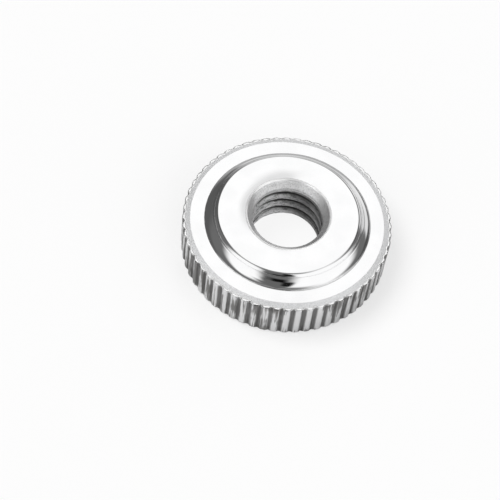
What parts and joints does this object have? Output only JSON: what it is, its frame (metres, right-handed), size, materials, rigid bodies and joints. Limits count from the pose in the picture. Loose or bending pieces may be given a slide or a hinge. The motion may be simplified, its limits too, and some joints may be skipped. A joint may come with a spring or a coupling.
{
  "type": "knurled thumb nut",
  "caption": "Round thumb nut turned in one piece: straight-knurled rim with chamfered ends, raised collar with a cove round its foot, and a metric tapped hole right through.",
  "frame": {"origin": "centre of the flat seat face, on the axis of the tapped hole", "axes": "+Z along the tapped hole, from the seat face up to the collar face; a crest of the knurl lies on each of +X, -X, +Y and -Y"},
  "size_m": [0.03, 0.03, 0.008],
  "materials": {
    "plated_steel": "bright nickel plating over turned steel"
  },
  "bodies": {
    "root": {"thumb_nut": "plated_steel"}
  },
  "joints": []
}
